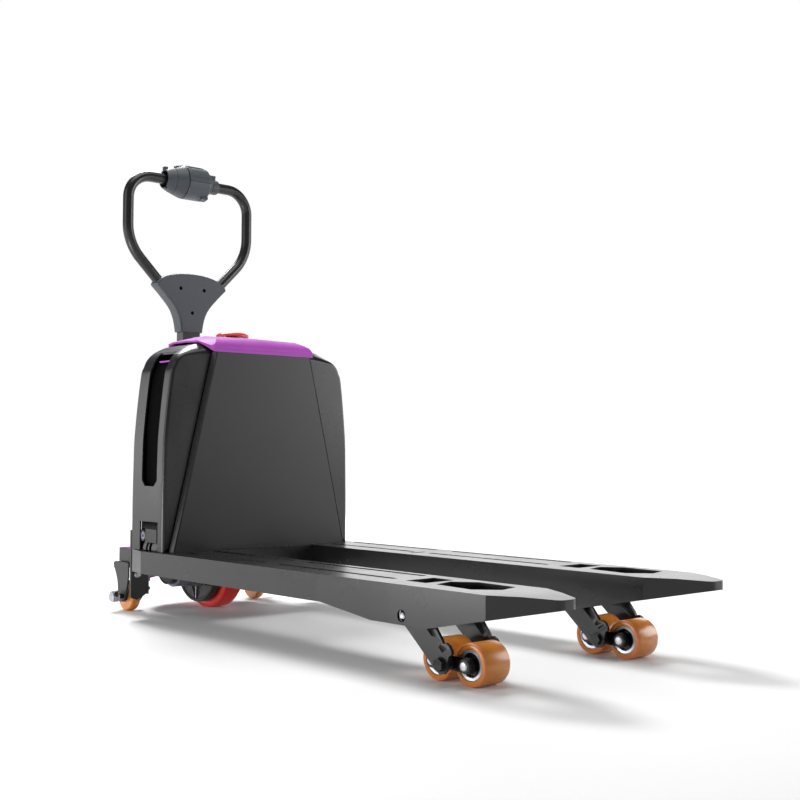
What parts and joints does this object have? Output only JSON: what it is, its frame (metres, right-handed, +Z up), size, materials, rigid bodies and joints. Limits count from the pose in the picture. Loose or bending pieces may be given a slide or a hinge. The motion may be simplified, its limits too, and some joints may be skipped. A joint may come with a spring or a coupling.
{
  "type": "electric pallet truck",
  "caption": "Walk-behind electric pallet truck with raised twin forks on tandem load rollers, a slim battery casing, a steered drive wheel and a loop-handled tiller.",
  "frame": {"origin": "on the floor, at the middle of the truck's overall length and width", "axes": "+X along the forks towards their tips, +Y to the left of an operator who stands at the tiller and faces the fork tips, +Z up"},
  "size_m": [1.492, 0.56, 1.13],
  "materials": {
    "black_coat": "satin black powder coat",
    "black_steel": "semi-matt black",
    "running_gear_black": "blackened steel",
    "purple_plastic": "satin purple moulding",
    "red_plastic": "semi-gloss red moulding",
    "grey_plastic": "blue-grey moulded plastic",
    "orange_polyurethane": "smooth orange polyurethane",
    "red_polyurethane": "smooth red polyurethane",
    "zinc_steel": "bright zinc plate",
    "cast_aluminium": "fine cast, bead blasted",
    "battery_case": "moulded case"
  },
  "bodies": {
    "chassis": {"rear_frame": "black_coat", "drive_mount_plate": "black_steel", "steering_bearing": "black_steel", "lift_cylinder": "black_steel", "rear_cover": "purple_plastic"},
    "fork_carriage": {"fork_left": "black_coat", "fork_right": "black_coat", "heel_cross_member": "black_coat", "casing": "black_coat", "rear_panel": "black_coat", "front_panel": "black_coat", "hood": "purple_plastic", "carriage_frame": "black_steel", "piston_rod": "zinc_steel", "battery_pack": "battery_case", "motor_controller": "cast_aluminium", "hydraulic_power_pack": "black_steel", "guide_roller_left": "zinc_steel", "guide_roller_right": "zinc_steel", "side_latch_left": "black_steel", "side_latch_right": "black_steel", "arm_pivot_pin_left": "zinc_steel", "arm_pivot_pin_right": "zinc_steel"},
    "stop_button": {"emergency_stop": "red_plastic"},
    "drive_unit": {"steering_head": "black_steel", "gear_housing": "cast_aluminium", "drive_motor": "cast_aluminium", "tiller_bracket": "black_steel", "tiller_pivot_pin": "zinc_steel"},
    "drive_wheel": {"drive_tyre": "red_polyurethane", "drive_hub": "cast_aluminium"},
    "tiller": {"tiller_arm": "black_coat", "handle_loop": "black_coat", "handle_cover_front": "grey_plastic", "handle_cover_rear": "grey_plastic", "control_head": "grey_plastic"},
    "paddle_left": {"throttle_paddle_left": "grey_plastic"},
    "paddle_right": {"throttle_paddle_right": "grey_plastic"},
    "belly_switch": {"belly_button": "red_plastic"},
    "lift_switch": {"lift_button": "grey_plastic"},
    "lower_switch": {"lower_button": "grey_plastic"},
    "load_arm_left": {"load_arm_left": "running_gear_black"},
    "push_rod_left": {"push_rod_left": "running_gear_black"},
    "bogie_left": {"bogie_left": "running_gear_black"},
    "load_roller_rear_left": {"load_roller_hub_rear_left": "zinc_steel", "load_roller_tyre_rear_left": "orange_polyurethane"},
    "load_roller_front_left": {"load_roller_hub_front_left": "zinc_steel", "load_roller_tyre_front_left": "orange_polyurethane"},
    "castor_left": {"castor_fork_left": "running_gear_black"},
    "castor_wheel_left": {"castor_wheel_left": "orange_polyurethane"},
    "load_arm_right": {"load_arm_right": "running_gear_black"},
    "push_rod_right": {"push_rod_right": "running_gear_black"},
    "bogie_right": {"bogie_right": "running_gear_black"},
    "load_roller_rear_right": {"load_roller_hub_rear_right": "zinc_steel", "load_roller_tyre_rear_right": "orange_polyurethane"},
    "load_roller_front_right": {"load_roller_hub_front_right": "zinc_steel", "load_roller_tyre_front_right": "orange_polyurethane"},
    "castor_right": {"castor_fork_right": "running_gear_black"},
    "castor_wheel_right": {"castor_wheel_right": "orange_polyurethane"}
  },
  "joints": [
    {"name": "lift", "type": "slide", "parent": "chassis", "child": "fork_carriage", "axis": [0, 0, 1], "range_m": [-0.081, 0]},
    {"name": "emergency_stop_press", "type": "slide", "parent": "fork_carriage", "child": "stop_button", "axis": [0, 0, -1], "range_m": [0, 0.004]},
    {"name": "steering", "type": "hinge", "parent": "chassis", "child": "drive_unit", "pos_m": [-0.594, 0, 0.2355], "axis": [0, 0, 1], "range_deg": [-90, 90]},
    {"name": "drive_wheel_spin", "type": "hinge", "parent": "drive_unit", "child": "drive_wheel", "pos_m": [-0.594, 0, 0.105], "axis": [0, 1, 0], "continuous": true},
    {"name": "tiller_tilt", "type": "hinge", "parent": "drive_unit", "child": "tiller", "pos_m": [-0.703, 0, 0.36], "axis": [0, -1, 0], "range_deg": [0, 85], "stiffness_Nm_per_rad": 25, "springref_deg": -20.05},
    {"name": "throttle_left", "type": "hinge", "parent": "tiller", "child": "paddle_left", "pos_m": [-0.703, 0.069, 1.086], "axis": [0, 1, 0], "range_deg": [-25, 25], "stiffness_Nm_per_rad": 0.6},
    {"name": "throttle_right", "type": "hinge", "parent": "tiller", "child": "paddle_right", "pos_m": [-0.703, -0.06675, 1.086], "axis": [0, 1, 0], "range_deg": [-25, 25], "stiffness_Nm_per_rad": 0.6},
    {"name": "belly_press", "type": "slide", "parent": "tiller", "child": "belly_switch", "axis": [1, 0, 0], "range_m": [0, 0.004], "stiffness_N_per_m": 600, "springref_m": -0.002},
    {"name": "lift_button_press", "type": "slide", "parent": "tiller", "child": "lift_switch", "axis": [0, 0, -1], "range_m": [0, 0.003], "stiffness_N_per_m": 400, "springref_m": -0.002},
    {"name": "lower_button_press", "type": "slide", "parent": "tiller", "child": "lower_switch", "axis": [0, 0, -1], "range_m": [0, 0.003], "stiffness_N_per_m": 400, "springref_m": -0.002},
    {"name": "load_arm_left_swing", "type": "hinge", "parent": "fork_carriage", "child": "load_arm_left", "pos_m": [0.4365, 0.206, 0.1095], "axis": [0, 1, 0], "range_deg": [-46.5, 0.5]},
    {"name": "bogie_left_rock", "type": "hinge", "parent": "load_arm_left", "child": "bogie_left", "pos_m": [0.5183, 0.2055, 0.0367], "axis": [0, 1, 0], "range_deg": [-0.5, 46.5]},
    {"name": "push_rod_left_slide", "type": "slide", "parent": "fork_carriage", "child": "push_rod_left", "axis": [1, 0, 0], "range_m": [-0.0215, 0.0005]},
    {"name": "load_roller_rear_left_spin", "type": "hinge", "parent": "bogie_left", "child": "load_roller_rear_left", "pos_m": [0.4788, 0.2055, 0.0367], "axis": [0, 1, 0], "continuous": true},
    {"name": "load_roller_front_left_spin", "type": "hinge", "parent": "bogie_left", "child": "load_roller_front_left", "pos_m": [0.5578, 0.2055, 0.0367], "axis": [0, 1, 0], "continuous": true},
    {"name": "castor_left_swivel", "type": "hinge", "parent": "chassis", "child": "castor_left", "pos_m": [-0.667, 0.185, 0.1197], "axis": [0, 0, 1], "continuous": true},
    {"name": "castor_wheel_left_spin", "type": "hinge", "parent": "castor_left", "child": "castor_wheel_left", "pos_m": [-0.661, 0.185, 0.0365], "axis": [0, 1, 0], "continuous": true},
    {"name": "load_arm_right_swing", "type": "hinge", "parent": "fork_carriage", "child": "load_arm_right", "pos_m": [0.4365, -0.206, 0.1095], "axis": [0, 1, 0], "range_deg": [-46.5, 0.5]},
    {"name": "bogie_right_rock", "type": "hinge", "parent": "load_arm_right", "child": "bogie_right", "pos_m": [0.5183, -0.2055, 0.0367], "axis": [0, 1, 0], "range_deg": [-0.5, 46.5]},
    {"name": "push_rod_right_slide", "type": "slide", "parent": "fork_carriage", "child": "push_rod_right", "axis": [1, 0, 0], "range_m": [-0.0215, 0.0005]},
    {"name": "load_roller_rear_right_spin", "type": "hinge", "parent": "bogie_right", "child": "load_roller_rear_right", "pos_m": [0.4788, -0.2055, 0.0367], "axis": [0, 1, 0], "continuous": true},
    {"name": "load_roller_front_right_spin", "type": "hinge", "parent": "bogie_right", "child": "load_roller_front_right", "pos_m": [0.5578, -0.2055, 0.0367], "axis": [0, 1, 0], "continuous": true},
    {"name": "castor_right_swivel", "type": "hinge", "parent": "chassis", "child": "castor_right", "pos_m": [-0.667, -0.185, 0.1197], "axis": [0, 0, 1], "continuous": true},
    {"name": "castor_wheel_right_spin", "type": "hinge", "parent": "castor_right", "child": "castor_wheel_right", "pos_m": [-0.661, -0.185, 0.0365], "axis": [0, 1, 0], "continuous": true}
  ],
  "couplings": [
    {"joint": "throttle_right", "follows": "throttle_left", "ratio": 1},
    {"joint": "load_arm_left_swing", "follows": "lift", "rad_per_m": 9.903},
    {"joint": "bogie_left_rock", "follows": "lift", "rad_per_m": -9.903},
    {"joint": "push_rod_left_slide", "follows": "lift", "ratio": 0.2605},
    {"joint": "load_arm_right_swing", "follows": "lift", "rad_per_m": 9.903},
    {"joint": "bogie_right_rock", "follows": "lift", "rad_per_m": -9.903},
    {"joint": "push_rod_right_slide", "follows": "lift", "ratio": 0.2605}
  ]
}
